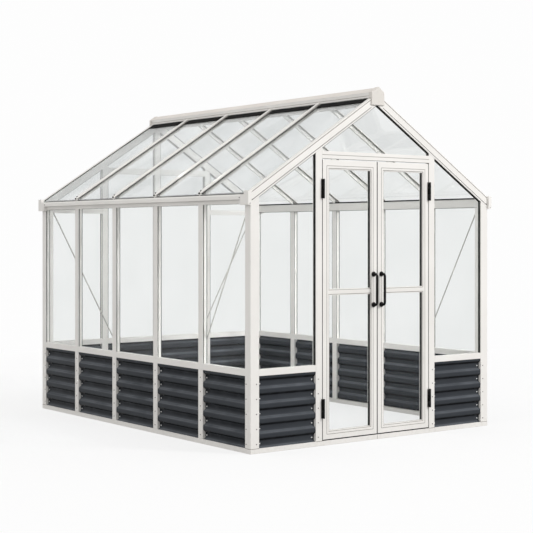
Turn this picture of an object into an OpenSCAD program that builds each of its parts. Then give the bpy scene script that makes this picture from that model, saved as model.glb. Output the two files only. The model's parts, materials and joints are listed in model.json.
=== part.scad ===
/* [Overall] */
// Outer width over the corner posts
width = 2310; // [2000:10:2700]
// Outer length over the corner posts
length = 3050; // [2700:10:3600]
// Height of the rafters' outer edge above the corner posts
eave_h = 1800; // [1700:10:1950]
// Pitch of both roof slopes in degrees
pitch = 32.65; // [29:0.05:36]
// Bays along each long wall
bays = 5; // [4:1:6]

/* [Frame sections] */
// Wall thickness of the box sections
wall = 3; // [2:0.5:4]
// Depth of wall posts and rails
frame_d = 38; // [36:1:60]
// Height of the base rails
base_h = 34; // [28:1:45]
// Face width of a corner post on the front and back
corner_front = 73; // [60:1:90]
// Face width of a corner post on the long walls
corner_side = 64; // [60:1:90]
// Face width of the posts between bays
post_w = 58; // [45:1:70]
// Underside of the sill rails
sill_z = 531; // [450:1:650]
// Height of the sill rails
sill_h = 46; // [36:1:60]
// Drop of the eave beams' underside below the roof line
plate_drop = 84; // [75:1:110]
// Face width of the gable rafters, square to the slope
rafter_w = 71; // [60:1:85]
// Clearance between pieces that butt together
fit = 0.3; // [0.2:0.1:0.5]

/* [Dwarf wall] */
// Pitch of the corrugation
wave_pitch = 103; // [80:1:130]
// Depth of the corrugation
wave_depth = 19; // [12:1:24]
// Height of the lowest rib's lower edge above the base rail
rib_start = 70; // [0:1:103]
// Height of a rib's flat face
rib_face = 28; // [20:1:32]
// Height of the flank over a rib
rib_shoulder = 18; // [14:1:22]
// Height of the flank under a rib
rib_underside = 22; // [14:1:24]
// Facets in a flank
flank_facets = 6; // [4:2:10]
// Thickness of the corrugated sheet
sheet_t = 2; // [1.5:0.5:3]
// Setback of the sheet from the wall face
sheet_set = 4; // [2:1:12]

/* [Glazing] */
// Thickness of the glass
glass_t = 4; // [3:1:6]
// Setback of the wall glass from the wall face
glass_set = 9; // [6:1:20]

/* [Doorway] */
// Clear width between the door posts
door_open_w = 1046; // [900:2:1150]
// Gap between the door head and the rafters beside the door posts
head_clear = 20.5; // [5:0.5:80]
// Height of the door head
head_h = 54; // [40:1:60]
// Thickness of a door leaf
leaf_t = 35; // [30:1:40]
// Width of the stiles and the bottom rail of a leaf
stile_w = 62; // [50:1:75]
// Height of the top rail of a leaf
top_rail_h = 69; // [55:1:80]
// Height of the middle rail of a leaf
mid_rail_h = 46; // [40:1:60]
// Centre of the middle rail above the ground
mid_rail_z = 1091; // [950:1:1200]
// Width of the stepped bead round each door pane
bead_w = 9; // [6:1:14]
// Depth of the stepped bead
bead_d = 4; // [2:1:8]
// Gap between a leaf and its door post
side_gap = 6; // [5.5:0.5:8]
// Gap between the two leaves
meeting_gap = 8; // [8:0.5:12]
// Gap over and under a leaf
end_gap = 8; // [6:0.5:12]

/* [Hinges and handles] */
// Diameter of a hinge barrel
barrel_d = 16; // [14:1:20]
// Height of a hinge
hinge_h = 138; // [100:1:160]
// Diameter of a hinge pin
pin_d = 8; // [6:0.5:10]
// Radial clearance of the pin in its knuckles
pin_fit = 0.08; // [0.02:0.01:0.1]
// Distance of the hinge axis in front of the door face
hinge_off = 14.5; // [14.5:0.5:18]
// Reach of a hinge leaf from the axis
hinge_reach = 12; // [11:1:20]
// Thickness of a hinge plate
hinge_plate_t = 4; // [3:0.5:6]
// Height of the lower hinge's centre above the foot of a leaf
hinge_low_rise = 222; // [150:1:400]
// Drop of the upper hinge's centre below the top of a leaf
hinge_high_drop = 208; // [150:1:400]
// Gap between neighbouring knuckles
knuckle_gap = 0.5; // [0.3:0.1:0.8]
// Diameter of a handle bar
handle_d = 18; // [10:1:20]
// Distance between the two feet of a handle
handle_c = 224; // [160:1:280]
// Reach of a handle in front of the door
handle_reach = 50; // [46:1:60]
// Radius of the bends of a handle bar
handle_bend = 18; // [14:1:24]
// Diameter of a handle foot
rosette_d = 38; // [26:1:44]
// Thickness of a handle foot
rosette_t = 6; // [4:1:9]
// Shift of a handle from the middle of its stile
handle_shift = 3; // [0:1:8]
// Height of a handle's centre
handle_z = 1101; // [1000:1:1200]

/* [Roof] */
// Face width of the roof bars
bar_w = 38; // [30:1:48]
// Thickness of a roof bar's cap
bar_cap_t = 6; // [5:0.5:9]
// Width of the rib along the top of a roof bar
bar_rib_w = 30; // [20:1:36]
// Height of the rib along the top of a roof bar
bar_rib_h = 12; // [6:1:16]
// Width of a roof bar's web
bar_web_w = 20; // [14:1:26]
// Depth of a roof bar below the roof line
bar_d = 34; // [32:1:58]
// Reach of the roof bars and panes past the wall face
roof_over = 10; // [6:1:16]
// Width of the ridge beam
ridge_beam_w = 40; // [30:1:46]
// Height of the ridge beam
ridge_beam_h = 70; // [55:1:90]
// Half width of the ridge cap
cap_half = 58; // [50:1:70]
// Height of the ridge cap's sides
cap_side_h = 42; // [30:1:48]
// Height of the ridge cap's lower band
cap_band_h = 14; // [10:1:18]
// Step between the two bands of the ridge cap
cap_step = 3; // [2:0.5:5]
// Width of the dark seal below the ridge cap, along the slope
seal_w = 52; // [40:1:70]
// Drop of a ridge end cap below the ridge cap
end_drop = 53; // [40:1:66]
// Depth of a ridge end cap at its edges
end_edge = 10; // [8:1:14]
// Depth of a ridge end cap at its centre crease
end_crease = 18; // [14:1:24]
// Length of a ridge end cap's hood over the ridge cap
end_hood = 26; // [16:1:40]

/* [Gutter] */
// Reach of the gutter past the wall face
gutter_w = 28; // [22:1:36]
// Drop of the gutter's underside below the roof line
gutter_drop = 56; // [54:1:66]
// Height of the gutter's outer face
gutter_h = 36; // [28:1:38]
// Width of the sloping lip along the gutter's top
gutter_lip = 9; // [6:1:12]
// Reach of a gutter end cap past the gable face
gutter_cap_over = 16; // [10:1:24]
// Length of a gutter end cap's sleeve behind the gable face
gutter_cap_len = 84; // [60:1:110]
// Drop of a gutter end cap below the gutter
gutter_cap_drop = 38; // [20:1:40]
// Rise of a gutter end cap above the gutter
gutter_cap_rise = 24; // [14:1:30]

/* [Back wall and braces] */
// Drop of the back wall's eave rails below the roof line
back_rail_drop = 110; // [100:1:200]
// Height of the back wall's eave rails
back_rail_h = 43; // [36:1:60]
// Width of the flat wall braces
brace_w = 11; // [8:1:32]
// Thickness of the flat wall braces
brace_t = 3; // [2:0.5:5]
// Distance of a brace's foot past the corner post
brace_run = 620; // [400:5:640]

/* [Hidden] */
$fn = 48;

paint = [0.90, 0.88, 0.86];
sheet_paint = [0.20, 0.21, 0.23];
clear = [0.80, 0.88, 0.90, 0.4];
dark = [0.06, 0.06, 0.06];

half_w = width / 2;
slope = tan(pitch);
cos_pitch = cos(pitch);
back_reach = end_crease;
y_front = (handle_reach - back_reach - length) / 2;
y_back = y_front + length;
bay = length / bays;
sill_top = sill_z + sill_h;
plate_z = eave_h - plate_drop;
gutter_z = eave_h - gutter_drop;
back_rail_z = eave_h - back_rail_drop;
rafter_drop = rafter_w / cos_pitch;
pane_top = bar_cap_t + fit;
pane_low = pane_top + glass_t;
plate_top = eave_h - pane_low / cos_pitch - fit;
door_half = door_open_w / 2;
head_z = layer_z(door_half, rafter_w) - head_clear - head_h;
post_out = door_half + post_w;
side_clear = half_w - corner_front;
ridge_z = eave_h + slope * half_w;
cap_low_z = roof_z(cap_half - cap_step - wall) + fit;
cap_side_z = cap_low_z + cap_side_h;
cap_apex_z = cap_side_z + slope * (cap_half - cap_step);
leaf_low = base_h + end_gap;
leaf_high = head_z - end_gap;
hinge_low_z = leaf_low + hinge_low_rise;
hinge_high_z = leaf_high - hinge_high_drop;
leaf_w = door_half - side_gap - meeting_gap / 2;
hinge_x = door_half - side_gap / 2;
handle_x = (meeting_gap + stile_w) / 2 + handle_shift;
cut = 1;
flank_steps = [for (i = [0 : flank_facets]) i / flank_facets];
rib_bends = concat([for (t = flank_steps) [rib_face + rib_shoulder * t, ease(t)]],
    [for (t = flank_steps) [wave_pitch - rib_underside * (1 - t), 1 - ease(t)]]);

// Height of the roof line over a distance from the middle of the house
function roof_z(x) = eave_h + slope * (half_w - abs(x));
// Height of a layer that lies a given depth under the roof line, measured square to the slope
function layer_z(x, depth) = roof_z(x) - depth / cos_pitch;
// Ends of the clear opening of a bay along a long wall
function bay_start(k) = k == 0 ? corner_side : k * bay + post_w / 2;
function bay_end(k) = k == bays - 1 ? length - corner_side : (k + 1) * bay - post_w / 2;
// Smooth step between 0 and 1
function ease(t) = t * t * (3 - 2 * t);

// Places a wall drawn along X, with Y pointing into the house
module at_front() {
    translate([0, y_front, 0]) children();
}
module at_back() {
    translate([0, y_back, 0]) mirror([0, 1, 0]) children();
}
module at_left() {
    translate([-half_w, y_front, 0]) mirror([1, 0, 0]) rotate([0, 0, 90]) children();
}
module at_right() {
    mirror([1, 0, 0]) at_left() children();
}
module both_sides() {
    children();
    mirror([1, 0, 0]) children();
}

// Extrudes a drawing of depth and height along a wall
module along(from, to) {
    translate([from, 0, 0]) rotate([90, 0, 90]) linear_extrude(to - from) children();
}
// Extrudes a drawing of width and height into the house
module inward(from, to) {
    translate([0, to, 0]) rotate([90, 0, 0]) linear_extrude(to - from) children();
}
module box_section(w, h) {
    difference() {
        square([w, h]);
        translate([wall, wall]) square([w - 2 * wall, h - 2 * wall]);
    }
}
module rail(from, to, low, h) {
    along(from, to) translate([0, low]) box_section(frame_d, h);
}
module post(middle, w, low, high) {
    translate([middle - w / 2, 0, low]) linear_extrude(high - low) box_section(w, frame_d);
}
// A post that runs up to the underside of the gable rafters
module gable_post(middle, w, low) {
    intersection() {
        post(middle, w, low, ridge_z);
        inward(-cut, frame_d + cut) under_rafters(rafter_w, fit);
    }
}
module under_rafters(depth, gap) {
    polygon([[-half_w, 0], [half_w, 0], [half_w, layer_z(half_w, depth) - gap],
        [0, layer_z(0, depth) - gap], [-half_w, layer_z(half_w, depth) - gap]]);
}
// A strip parallel to the right-hand roof slope
module slope_band(x_low, x_high, top, low) {
    polygon([[x_low, layer_z(x_low, low)], [x_high, layer_z(x_high, low)],
        [x_high, layer_z(x_high, top)], [x_low, layer_z(x_low, top)]]);
}

module base_rails() {
    color(paint) {
        at_front() both_sides() rail(post_out + fit, side_clear - fit, 0, base_h);
        at_front() rail(-door_half + fit, door_half - fit, 0, base_h);
        at_back() rail(-side_clear + fit, side_clear - fit, 0, base_h);
        at_left() rail(corner_side + fit, length - corner_side - fit, 0, base_h);
        at_right() rail(corner_side + fit, length - corner_side - fit, 0, base_h);
    }
}

// Corner posts meet the rafters in front and the eave beams behind
module corner_posts() {
    color(paint) intersection() {
        both_sides() translate([side_clear, 0, 0]) linear_extrude(ridge_z)
            box_section(corner_front, corner_side);
        union() {
            inward(0, frame_d) under_rafters(rafter_w, fit);
            inward(0, corner_side) translate([-half_w, 0]) square([width, plate_z - fit]);
        }
    }
}
module front_corner_posts() {
    at_front() corner_posts();
}
module back_corner_posts() {
    at_back() corner_posts();
}

module door_posts() {
    color(paint) at_front() both_sides() gable_post(door_half + post_w / 2, post_w, 0);
}
module door_head() {
    color(paint) at_front() rail(-door_half + fit, door_half - fit, head_z, head_h);
}

module side_posts() {
    color(paint) for (k = [1 : bays - 1]) {
        post(k * bay, post_w, base_h + fit, sill_z - fit);
        post(k * bay, post_w, sill_top + fit, plate_z - fit);
    }
}
module left_posts() {
    at_left() side_posts();
}
module right_posts() {
    at_right() side_posts();
}
module back_posts() {
    color(paint) at_back() {
        for (x = [-door_half - post_w / 2, 0, door_half + post_w / 2]) {
            post(x, post_w, base_h + fit, sill_z - fit);
            gable_post(x, post_w, sill_top + fit);
        }
    }
}

module front_sills() {
    color(paint) at_front() both_sides() rail(post_out + fit, side_clear - fit, sill_z, sill_h);
}
module side_sill() {
    color(paint) rail(corner_side + fit, length - corner_side - fit, sill_z, sill_h);
}
module left_sill() {
    at_left() side_sill();
}
module right_sill() {
    at_right() side_sill();
}
module back_sills() {
    color(paint) at_back() rail(-side_clear + fit, side_clear - fit, sill_z, sill_h);
}

module eave_beam() {
    color(paint) rail(frame_d + fit, length - frame_d - fit, plate_z, plate_top - plate_z);
}
module left_eave_beam() {
    at_left() eave_beam();
}
module right_eave_beam() {
    at_right() eave_beam();
}

// Open channel with a lip that slopes in along its outer edge
module gutter_profile() {
    top = gutter_z + gutter_h;
    fold = top - gutter_lip;
    lip_drop = wall * sqrt(2);
    inner = wall - gutter_w;
    polygon([[-gutter_w, gutter_z], [-fit, gutter_z], [-fit, top], [-fit - wall, top],
        [-fit - wall, gutter_z + wall], [inner, gutter_z + wall], [inner, fold + wall - lip_drop],
        [gutter_lip - gutter_w, top - lip_drop], [gutter_lip - gutter_w, top], [-gutter_w, fold]]);
}
module gutter() {
    color(paint) along(wall + fit, length - wall - fit) gutter_profile();
}
module left_gutter() {
    at_left() gutter();
}
module right_gutter() {
    at_right() gutter();
}
// Moulded cap that slips over the end of a gutter
module gutter_end_cap() {
    low = gutter_z - gutter_cap_drop;
    high = gutter_z + gutter_h + gutter_cap_rise;
    sleeve_top = gutter_z + gutter_h;
    outer = -gutter_w - wall;
    cap_w = -outer - fit;
    difference() {
        union() {
            along(-gutter_cap_over, frame_d - fit) translate([outer, low]) square([cap_w, high - low]);
            along(0, gutter_cap_len) translate([outer, low]) square([cap_w, sleeve_top - low]);
        }
        along(wall, gutter_cap_len + cut)
            translate([-gutter_w - fit, gutter_z - fit]) square([gutter_w + cut, gutter_h + 2 * fit]);
    }
}
module gutter_end_caps() {
    color(paint) both_sides() at_left() {
        gutter_end_cap();
        translate([length, 0, 0]) mirror([1, 0, 0]) gutter_end_cap();
    }
}

module rafters() {
    color(paint) both_sides() difference() {
        inward(0, frame_d) slope_band(fit, half_w, 0, rafter_w);
        inward(wall, frame_d - wall) slope_band(-cut, half_w + cut, wall, rafter_w - wall);
    }
}
module front_rafters() {
    at_front() rafters();
}
module back_rafters() {
    at_back() rafters();
}

module roof_bar() {
    inward(-bar_w / 2, bar_w / 2) slope_band(ridge_beam_w / 2 + fit, half_w + roof_over, 0, bar_cap_t);
    inward(-bar_rib_w / 2, bar_rib_w / 2)
        slope_band(cap_half + fit, half_w + roof_over, -bar_rib_h, bar_cap_t / 2);
    inward(-bar_web_w / 2, bar_web_w / 2)
        slope_band(ridge_beam_w / 2 + fit, half_w - frame_d - fit, bar_cap_t / 2, bar_d);
}
module right_roof_bars() {
    color(paint) for (k = [1 : bays - 1]) translate([0, y_front + k * bay, 0]) roof_bar();
}
module left_roof_bars() {
    mirror([1, 0, 0]) right_roof_bars();
}

module ridge_beam() {
    top = layer_z(ridge_beam_w / 2, 0);
    color(paint) at_left() along(frame_d + fit, length - frame_d - fit)
        translate([half_w - ridge_beam_w / 2, top - ridge_beam_h]) box_section(ridge_beam_w, ridge_beam_h);
}
// Pitched outline of the ridge pieces, grown outwards by a given amount
module ridge_outline(half, grow, low) {
    apex = cap_apex_z + grow / cos_pitch;
    side = apex - slope * (half + grow);
    polygon([[-half - grow, low], [half + grow, low], [half + grow, side], [0, apex], [-half - grow, side]]);
}
module ridge_cap() {
    color(paint) at_front() inward(fit, length - fit) difference() {
        union() {
            ridge_outline(cap_half - cap_step, 0, cap_low_z);
            translate([-cap_half, cap_low_z]) square([2 * cap_half, cap_band_h]);
        }
        ridge_outline(cap_half - cap_step, -wall, cap_low_z - cut);
    }
}
// End cap with a creased face and a hood over the ridge cap
module ridge_end_cap() {
    half = cap_half + fit + wall;
    intersection() {
        translate([0, 0, cap_low_z - end_drop]) linear_extrude(ridge_z)
            polygon([[-half, -fit], [-half, -end_edge], [0, -end_crease], [half, -end_edge], [half, -fit]]);
        inward(-end_crease, 0) ridge_outline(cap_half, fit + wall, cap_low_z - end_drop);
    }
    inward(-end_edge, end_hood) difference() {
        ridge_outline(cap_half, fit + wall, cap_low_z);
        ridge_outline(cap_half, fit, cap_low_z - cut);
    }
}
module ridge_end_caps() {
    color(paint) {
        at_front() ridge_end_cap();
        at_back() ridge_end_cap();
    }
}

// Places a drawing of a roof strip in every bay, clear of the bars by a given half width
module each_roof_bay(half_bar) {
    for (k = [0 : bays - 1]) {
        from = k == 0 ? frame_d : k * bay + half_bar;
        to = k == bays - 1 ? length - frame_d : (k + 1) * bay - half_bar;
        at_front() inward(from + fit, to - fit) children();
    }
}
module ridge_seals() {
    color(dark) both_sides() each_roof_bay(bar_w / 2)
        slope_band(cap_half - cap_step, cap_half + seal_w * cos_pitch, fit, bar_cap_t);
}
module right_roof_glass() {
    color(clear) each_roof_bay(bar_web_w / 2)
        slope_band(ridge_beam_w / 2 + fit, half_w + roof_over - fit, pane_top, pane_low);
}
module left_roof_glass() {
    mirror([1, 0, 0]) right_roof_glass();
}

module back_rails() {
    color(paint) at_back() both_sides() {
        rail(post_out + fit, side_clear - fit, back_rail_z, back_rail_h);
        rail(post_w / 2 + fit, door_half - fit, head_z, head_h);
    }
}
// Flat bar from the top of a corner post down to the sill
module brace() {
    top_z = plate_z - brace_w;
    drop = top_z - (sill_z + sill_h / 2);
    lean = atan(brace_run / drop);
    reach = norm([brace_run, drop]);
    translate([fit + brace_w / 2, frame_d + fit, top_z]) rotate([0, 180 - lean, 0])
        translate([-brace_w / 2, 0, 0]) cube([brace_w, brace_t, reach]);
}
module wall_braces() {
    color(paint) {
        both_sides() at_left() translate([corner_side, 0, 0]) brace();
        both_sides() at_back() translate([-side_clear, 0, 0]) brace();
    }
}

// Pane between two posts and under the rafters
module gable_pane(from, to, low) {
    color(clear) inward(glass_set, glass_set + glass_t) intersection() {
        translate([from + fit, low + fit]) square([to - from - 2 * fit, ridge_z]);
        under_rafters(rafter_w, fit);
    }
}
module flat_pane(from, to, low, high) {
    color(clear) inward(glass_set, glass_set + glass_t)
        translate([from + fit, low + fit]) square([to - from - 2 * fit, high - low - 2 * fit]);
}
module front_glass() {
    at_front() both_sides() gable_pane(post_out, side_clear, sill_top);
    at_front() gable_pane(-door_half, door_half, head_z + head_h);
}
module side_glass() {
    for (k = [0 : bays - 1]) flat_pane(bay_start(k), bay_end(k), sill_top, plate_z);
}
module left_glass() {
    at_left() side_glass();
}
module right_glass() {
    at_right() side_glass();
}
module back_glass() {
    at_back() both_sides() {
        flat_pane(post_out, side_clear, sill_top, back_rail_z);
        gable_pane(post_out, side_clear, back_rail_z + back_rail_h);
        flat_pane(post_w / 2, door_half, sill_top, head_z);
        gable_pane(post_w / 2, door_half, head_z + head_h);
    }
}

// Corrugated sheet with level ribs, between two posts
module panel(from, to) {
    low = base_h + fit;
    high = sill_z - fit;
    first_rib = base_h + rib_start - wave_pitch;
    bends = [for (z = [first_rib : wave_pitch : sill_z], b = rib_bends) [z + b[0], b[1]]];
    heights = concat([low], [for (b = bends) if (b[0] > low && b[0] < high) b[0]], [high]);
    face = [for (z = heights) [sheet_set + wave_depth * lookup(z, bends), z]];
    back = [for (i = [len(face) - 1 : -1 : 0]) face[i] + [sheet_t, 0]];
    color(sheet_paint) along(from + fit, to - fit) polygon(concat(face, back));
}
module front_panels() {
    at_front() both_sides() panel(post_out, side_clear);
}
module side_panels() {
    for (k = [0 : bays - 1]) panel(bay_start(k), bay_end(k));
}
module left_panels() {
    at_left() side_panels();
}
module right_panels() {
    at_right() side_panels();
}
module back_panels() {
    at_back() both_sides() {
        panel(post_out, side_clear);
        panel(post_w / 2, door_half);
    }
}

// Drawing of the two openings of a leaf, grown by a given amount
module leaf_openings(grow) {
    left = meeting_gap / 2 + stile_w - grow;
    w = leaf_w - 2 * stile_w + 2 * grow;
    low = leaf_low + stile_w - grow;
    mid_low = mid_rail_z - mid_rail_h / 2 + grow;
    mid_high = mid_rail_z + mid_rail_h / 2 - grow;
    high = leaf_high - top_rail_h + grow;
    translate([left, low]) square([w, mid_low - low]);
    translate([left, mid_high]) square([w, high - mid_high]);
}
module right_door() {
    color(paint) at_front() difference() {
        inward(0, leaf_t) translate([meeting_gap / 2, leaf_low]) square([leaf_w, leaf_high - leaf_low]);
        inward(-cut, leaf_t + cut) leaf_openings(0);
        inward(-cut, bead_d) leaf_openings(bead_w);
    }
}
module left_door() {
    mirror([1, 0, 0]) right_door();
}
module right_door_glass() {
    color(clear) at_front() inward((leaf_t - glass_t) / 2, (leaf_t + glass_t) / 2) leaf_openings(-fit);
}
module left_door_glass() {
    mirror([1, 0, 0]) right_door_glass();
}

// Arm and plate that join hinge knuckles to the face on the positive side of the axis
module hinge_arm() {
    foot = side_gap / 2 + fit;
    translate([foot, fit - hinge_off]) square([barrel_d / 2 - foot, hinge_off - 2 * fit]);
    translate([foot, -hinge_plate_t - fit]) square([hinge_reach - foot, hinge_plate_t]);
}
module knuckle(low, high) {
    translate([0, -hinge_off, low]) cylinder(d = barrel_d, h = high - low);
}
module frame_hinge() {
    third = hinge_h / 3;
    bore = pin_d + 2 * pin_fit;
    for (low = [-hinge_h / 2, hinge_h / 2 - third]) {
        difference() {
            union() {
                knuckle(low, low + third);
                translate([0, 0, low]) linear_extrude(third) hinge_arm();
            }
            translate([0, -hinge_off, low - cut]) cylinder(d = bore, h = third + 2 * cut);
        }
    }
}
module door_hinge() {
    half = hinge_h / 6 - knuckle_gap;
    knuckle(-half, half);
    translate([0, -hinge_off, -hinge_h / 2]) cylinder(d = pin_d, h = hinge_h);
    mirror([1, 0, 0]) translate([0, 0, -half]) linear_extrude(2 * half) hinge_arm();
}
module at_hinges() {
    for (z = [hinge_low_z, hinge_high_z]) at_front() translate([hinge_x, 0, z]) children();
}
module frame_hinges() {
    color(dark) both_sides() at_hinges() frame_hinge();
}
module right_door_hinges() {
    color(dark) at_hinges() door_hinge();
}
module left_door_hinges() {
    mirror([1, 0, 0]) right_door_hinges();
}

// Bar with two bends, standing on round feet
module handle() {
    axis_y = handle_d / 2 - handle_reach;
    straight = handle_c / 2 - handle_bend;
    translate([0, axis_y, -straight]) cylinder(d = handle_d, h = 2 * straight);
    for (s = [0, 1]) mirror([0, 0, s]) {
        translate([0, axis_y + handle_bend, straight]) rotate([0, 0, -90]) rotate([90, 0, 0])
            rotate_extrude(angle = 90) translate([handle_bend, 0]) circle(d = handle_d);
        translate([0, axis_y + handle_bend, handle_c / 2]) rotate([-90, 0, 0])
            cylinder(d = handle_d, h = -axis_y - handle_bend - fit);
        translate([0, -fit, handle_c / 2]) rotate([90, 0, 0]) cylinder(d = rosette_d, h = rosette_t);
    }
}
module right_door_handle() {
    color(dark) at_front() translate([handle_x, 0, handle_z]) handle();
}
module left_door_handle() {
    mirror([1, 0, 0]) right_door_handle();
}

base_rails();
front_corner_posts();
back_corner_posts();
door_posts();
door_head();
left_posts();
right_posts();
back_posts();
front_sills();
left_sill();
right_sill();
back_sills();
left_eave_beam();
right_eave_beam();
left_gutter();
right_gutter();
gutter_end_caps();
front_rafters();
back_rafters();
left_roof_bars();
right_roof_bars();
ridge_beam();
ridge_cap();
ridge_end_caps();
ridge_seals();
back_rails();
wall_braces();
front_glass();
left_glass();
right_glass();
back_glass();
left_roof_glass();
right_roof_glass();
front_panels();
left_panels();
right_panels();
back_panels();
frame_hinges();
left_door();
left_door_glass();
left_door_handle();
left_door_hinges();
right_door();
right_door_glass();
right_door_handle();
right_door_hinges();
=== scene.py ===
# %% [markdown]
# # A glass greenhouse with a dwarf wall
# A small garden greenhouse: cream aluminium frame, clear glass above a low wall of corrugated sheet, and a
# pair of glazed doors in the front gable. The measured solids come in as a fixed frame, in metres, and this
# lesson dresses them: softened edges, finishes, rubber strips, screws, light and a camera.

# %% Load the measured solids
import json
import math

import bmesh
import bpy
from mathutils import Matrix, Vector


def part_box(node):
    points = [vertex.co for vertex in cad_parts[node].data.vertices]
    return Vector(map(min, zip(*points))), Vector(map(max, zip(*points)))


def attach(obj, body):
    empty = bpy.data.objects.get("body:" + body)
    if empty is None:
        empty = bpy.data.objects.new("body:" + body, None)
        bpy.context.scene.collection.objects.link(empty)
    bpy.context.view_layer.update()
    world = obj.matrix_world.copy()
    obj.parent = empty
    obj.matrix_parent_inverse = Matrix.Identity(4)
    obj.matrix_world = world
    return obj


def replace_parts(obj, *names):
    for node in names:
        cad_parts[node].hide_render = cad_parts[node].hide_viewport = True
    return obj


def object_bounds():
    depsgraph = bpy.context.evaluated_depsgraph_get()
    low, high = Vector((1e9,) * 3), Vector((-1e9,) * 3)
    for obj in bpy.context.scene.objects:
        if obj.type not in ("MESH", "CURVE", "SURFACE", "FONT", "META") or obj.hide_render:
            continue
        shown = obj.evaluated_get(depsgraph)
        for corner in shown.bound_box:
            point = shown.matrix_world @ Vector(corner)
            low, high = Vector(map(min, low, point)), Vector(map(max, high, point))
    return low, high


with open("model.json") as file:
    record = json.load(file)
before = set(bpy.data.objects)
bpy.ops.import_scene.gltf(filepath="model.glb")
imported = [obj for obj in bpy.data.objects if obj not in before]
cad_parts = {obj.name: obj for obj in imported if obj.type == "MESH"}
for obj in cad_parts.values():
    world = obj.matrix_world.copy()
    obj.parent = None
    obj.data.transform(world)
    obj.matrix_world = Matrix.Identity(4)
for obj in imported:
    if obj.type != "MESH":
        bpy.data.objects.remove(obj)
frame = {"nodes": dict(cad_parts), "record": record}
cad_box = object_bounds()
nodes = frame["nodes"]
print("solids:", len(nodes), "box:", [tuple(round(c, 3) for c in corner) for corner in cad_box])

# %% [markdown]
# ## Camera
# The photograph was taken at eye height with the verticals kept upright, as an architectural lens does by
# shifting. Tilting the camera would make the posts lean, so the camera stays level and the lens is shifted.

# %% Camera
EYE_HEIGHT = 1.50
STAND_POINT = (-6.509, -8.816)
HEADING = math.radians(-36.92)
LEVEL = math.radians(90)
SENSOR_WIDTH = 36
FOCAL_LENGTH = 89.6
LENS_SHIFT = -0.0591
scene = bpy.context.scene
camera = bpy.data.objects.new("camera", bpy.data.cameras.new("camera"))
camera.location = (*STAND_POINT, EYE_HEIGHT)
camera.rotation_euler = (LEVEL, 0, HEADING)
camera.data.sensor_width = SENSOR_WIDTH
camera.data.lens = FOCAL_LENGTH
camera.data.shift_y = LENS_SHIFT
scene.collection.objects.link(camera)
scene.camera = camera
print("camera stands", round(Vector(STAND_POINT).length, 2), "m from the middle of the house")

# %% [markdown]
# ## Steps that every node graph shares
# Each look in this lesson is a small graph of nodes. The same few steps come back in all of them, such as taking
# one axis of a place or stretching a value onto a range. They could be wired by hand each time, but a helper that
# returns its output socket keeps every graph short enough to read.


# %% Helpers for node graphs
def axis_of(nt, vector, axis):
    """One axis of a vector."""
    split = nt.nodes.new("ShaderNodeSeparateXYZ")
    nt.links.new(vector, split.inputs["Vector"])
    return split.outputs[axis]


def rescale(nt, value, low, high, start=0.0, full=1.0):
    """Maps a value of start..full onto low..high, and holds it there beyond."""
    change = nt.nodes.new("ShaderNodeMapRange")
    change.inputs["From Min"].default_value = start
    change.inputs["From Max"].default_value = full
    change.inputs["To Min"].default_value = low
    change.inputs["To Max"].default_value = high
    nt.links.new(value, change.inputs["Value"])
    return change.outputs["Result"]


def combine(nt, operation, first, second):
    """One value from two, such as their product or the larger one."""
    step = nt.nodes.new("ShaderNodeMath")
    step.operation = operation
    nt.links.new(first, step.inputs[0])
    nt.links.new(second, step.inputs[1])
    return step.outputs[0]


def blend_shaders(nt, share, first, second):
    """Mixes two shaders by a share."""
    mix = nt.nodes.new("ShaderNodeMixShader")
    for socket, source in enumerate((share, first, second)):
        nt.links.new(source, mix.inputs[socket])
    return mix.outputs[0]


def seen_through_glass(nt):
    """A value of 1 for rays that the camera sees directly, in a reflection or through glass."""
    path = nt.nodes.new("ShaderNodeLightPath")
    either = combine(nt, "MAXIMUM", path.outputs["Is Camera Ray"], path.outputs["Is Glossy Ray"])
    return combine(nt, "MAXIMUM", either, path.outputs["Is Transmission Ray"])


print("helpers for node graphs are ready")

# %% [markdown]
# ## Floor and backdrop
# The house stands on white studio paper. One way would be to flood the paper with lamps until it burns out,
# but that also bleaches the cream frame. Here the world and the paper glow white only for rays that reach the
# camera, straight or through glass, and light the house at a plain level. The world is a little brighter overhead
# than at the horizon, as in a room with a pale ceiling.

# %% World
PAPER_WHITE = 0.985
WHITE = (1, 1, 1, 1)
ROOM_TINT = (1.0, 0.992, 0.98, 1)
HORIZON_LIGHT = 0.60
ZENITH_LIGHT = 1.00
scene.view_settings.view_transform = "Standard"
world = bpy.data.worlds.new("studio")
scene.world = world
world.use_nodes = True
sky = world.node_tree
sky.nodes.clear()
climb = axis_of(sky, sky.nodes.new("ShaderNodeTexCoord").outputs["Generated"], "Z")
room_light = sky.nodes.new("ShaderNodeBackground")
room_light.inputs["Color"].default_value = ROOM_TINT
sky.links.new(rescale(sky, climb, HORIZON_LIGHT, ZENITH_LIGHT), room_light.inputs["Strength"])
white_wall = sky.nodes.new("ShaderNodeBackground")
white_wall.inputs["Color"].default_value = WHITE
white_wall.inputs["Strength"].default_value = PAPER_WHITE
backdrop = blend_shaders(sky, seen_through_glass(sky), room_light.outputs[0], white_wall.outputs[0])
sky.links.new(backdrop, sky.nodes.new("ShaderNodeOutputWorld").inputs["Surface"])
print("world light:", HORIZON_LIGHT, "at the horizon,", ZENITH_LIGHT, "overhead")

# %% [markdown]
# The paper keeps a part of its own shading near the house, so the soft shadow round the base rails still shows.
# Further out the glow takes over, and the paper runs into the backdrop without an edge.

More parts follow.
